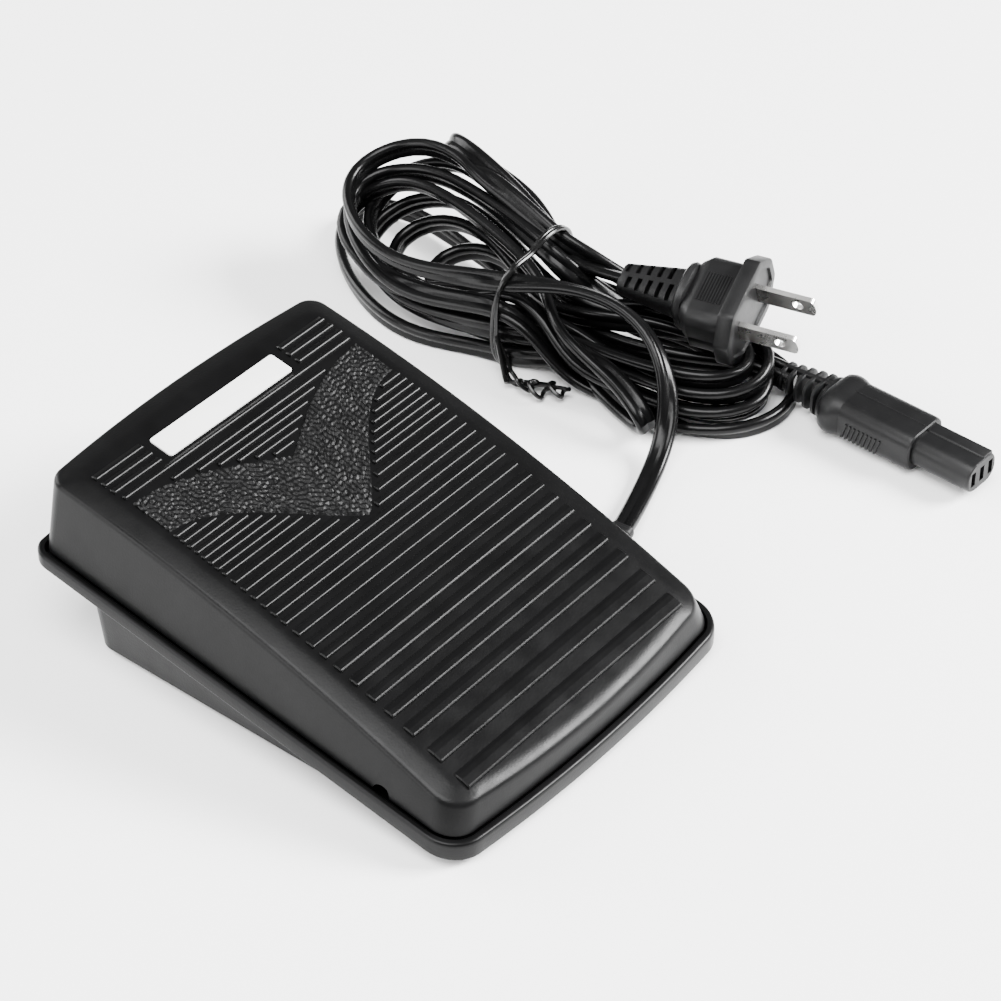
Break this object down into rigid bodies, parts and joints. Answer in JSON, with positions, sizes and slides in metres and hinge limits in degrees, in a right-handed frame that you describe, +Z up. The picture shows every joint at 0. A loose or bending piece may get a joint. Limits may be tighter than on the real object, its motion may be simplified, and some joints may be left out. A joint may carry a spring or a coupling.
{
  "type": "sewing machine foot pedal",
  "caption": "Tilted black foot pedal with a ribbed rocking cover on a rimmed tray, its flat cords tied in a bundle with a mains plug and a machine connector.",
  "frame": {"origin": "centre of the underside of the pedal itself (tray and cover, without cords), on the floor", "axes": "+Z up; +Y towards the high (toe) end of the pedal; +X towards the side where the cord leaves"},
  "size_m": [0.2074, 0.2102, 0.0501],
  "materials": {
    "shell": "semi-gloss moulded black, fine texture",
    "label": "white printed plate, satin",
    "steel": "plain steel",
    "spring_steel": "drawn spring wire",
    "rubber": "matte rubber",
    "board": "phenolic board",
    "blue_plastic": "moulded blue",
    "ivory_plastic": "natural nylon",
    "component_black": "moulded package",
    "aluminium": "folded sheet",
    "red_plastic": "dipped resin",
    "copper_wire": "enamelled copper winding on a ring",
    "ceramic": "coated resistor",
    "green_plastic": "moulded green",
    "soft_black": "soft moulded vinyl",
    "cord_black": "smooth vinyl flat cord",
    "tie_black": "coated wire tie",
    "moulded_black": "moulded vinyl",
    "nickel": "nickel-plated brass",
    "brown_insulation": "vinyl insulation"
  },
  "bodies": {
    "base": {"base_tray": "shell", "hinge_pin_left": "steel", "hinge_pin_right": "steel", "return_spring_left": "spring_steel", "return_spring_right": "spring_steel", "rubber_foot_low_left": "rubber", "rubber_foot_low_right": "rubber", "rubber_foot_high_left": "rubber", "rubber_foot_high_right": "rubber", "circuit_board": "board", "board_screw_low": "steel", "board_screw_high": "steel", "speed_control": "blue_plastic", "triac": "component_black", "heat_sink": "aluminium", "film_capacitor": "red_plastic", "suppression_choke": "copper_wire", "resistor_a": "ceramic", "resistor_b": "ceramic", "terminal_block": "green_plastic", "cord_bushing": "soft_black", "cord_clamp": "ivory_plastic", "clamp_screw_low": "steel", "clamp_screw_high": "steel", "cord_tail": "cord_black", "lead_brown": "brown_insulation", "lead_white": "ivory_plastic", "pedal_lead": "cord_black", "mains_lead": "cord_black", "pedal_cord_bundle": "cord_black", "mains_cord_bundle": "cord_black", "twist_tie": "tie_black", "plug_body": "moulded_black", "plug_blade_a": "nickel", "plug_blade_b": "nickel", "plug_strain_relief": "moulded_black", "connector_body": "moulded_black", "connector_contact_1": "nickel", "connector_contact_2": "nickel", "connector_contact_3": "nickel", "connector_strain_relief": "moulded_black"},
    "cover": {"top_cover": "shell", "label_plate": "label"},
    "lever": {"speed_lever": "ivory_plastic"}
  },
  "joints": [
    {"name": "pedal", "type": "hinge", "parent": "base", "child": "cover", "pos_m": [0, -0.0427, 0.009], "axis": [-1, 0, 0], "range_deg": [0, 1.4], "stiffness_Nm_per_rad": 25, "springref_deg": -1.15, "deforming": ["return_spring_left", "return_spring_right"]},
    {"name": "speed_lever_turn", "type": "hinge", "parent": "base", "child": "lever", "pos_m": [0.0126, 0.012, 0.024], "axis": [1, 0, 0], "range_deg": [0, 10]}
  ],
  "couplings": [
    {"joint": "speed_lever_turn", "follows": "pedal", "ratio": 6.8}
  ]
}
